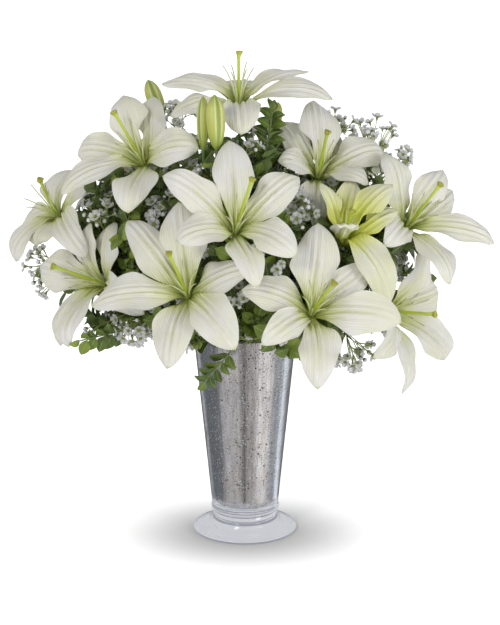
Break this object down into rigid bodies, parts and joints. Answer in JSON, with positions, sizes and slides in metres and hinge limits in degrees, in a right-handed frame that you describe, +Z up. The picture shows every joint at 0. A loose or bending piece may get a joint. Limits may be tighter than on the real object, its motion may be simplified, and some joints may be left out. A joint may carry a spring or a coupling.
{
  "type": "lilies in a vase",
  "caption": "Dome of open white lilies, green buds, small white florets and leafy sprigs, standing in water in a tapered silvered glass vase on a round foot.",
  "frame": {"origin": "centre of the vase's foot, on the surface it stands on", "axes": "+Z up along the vase's axis, -Y towards the side the bouquet faces, +X to the viewer's right"},
  "size_m": [0.4789, 0.3758, 0.4906],
  "materials": {
    "clear_glass": "clear, polished",
    "silvering": "speckled antique silver",
    "white_petal": "soft, waxy",
    "greenish_petal": "soft, waxy",
    "pistil": "satin",
    "bud": "satin",
    "waxflower": "waxy white florets on green twigs",
    "leaf": "leathery, slightly glossy",
    "lily_stem": "satin",
    "water": "clear"
  },
  "bodies": {
    "root": {"vase_glass": "clear_glass", "vase_silvering": "silvering", "lily_top_tepals": "white_petal", "lily_top_pistil": "pistil", "lily_upper_left_tepals": "white_petal", "lily_upper_left_pistil": "pistil", "lily_centre_tepals": "white_petal", "lily_centre_pistil": "pistil", "lily_front_left_tepals": "white_petal", "lily_front_left_pistil": "pistil", "lily_front_right_tepals": "white_petal", "lily_front_right_pistil": "pistil", "lily_right_tepals": "white_petal", "lily_right_pistil": "pistil", "lily_upper_right_tepals": "white_petal", "lily_upper_right_pistil": "pistil", "lily_left_tepals": "white_petal", "lily_left_pistil": "pistil", "lily_far_left_tepals": "white_petal", "lily_far_left_pistil": "pistil", "lily_lower_right_tepals": "white_petal", "lily_lower_right_pistil": "pistil", "lily_half_open_tepals": "greenish_petal", "lily_half_open_pistil": "pistil", "lily_back_left_tepals": "white_petal", "lily_back_left_pistil": "pistil", "lily_back_right_tepals": "white_petal", "lily_back_right_pistil": "pistil", "lily_back_low_tepals": "white_petal", "lily_back_low_pistil": "pistil", "bud_far_left": "bud", "bud_left": "bud", "bud_centre_left": "bud", "bud_back": "bud", "waxflower_top_right": "waxflower", "waxflower_right": "waxflower", "waxflower_top_left": "waxflower", "waxflower_left": "waxflower", "waxflower_far_left": "waxflower", "waxflower_left_centre": "waxflower", "waxflower_middle": "waxflower", "waxflower_right_centre": "waxflower", "waxflower_lower_right": "waxflower", "waxflower_front": "waxflower", "waxflower_lower_left": "waxflower", "waxflower_back": "waxflower", "sprig_top": "leaf", "sprig_lower_left": "leaf", "sprig_front": "leaf", "sprig_right_rim": "leaf", "sprig_left": "leaf", "sprig_right": "leaf", "sprig_back": "leaf", "stem_front_left": "lily_stem", "stem_front": "lily_stem", "stem_right": "lily_stem", "stem_top": "lily_stem", "stem_upper_left": "lily_stem", "stem_back": "lily_stem", "water": "water"}
  },
  "joints": []
}
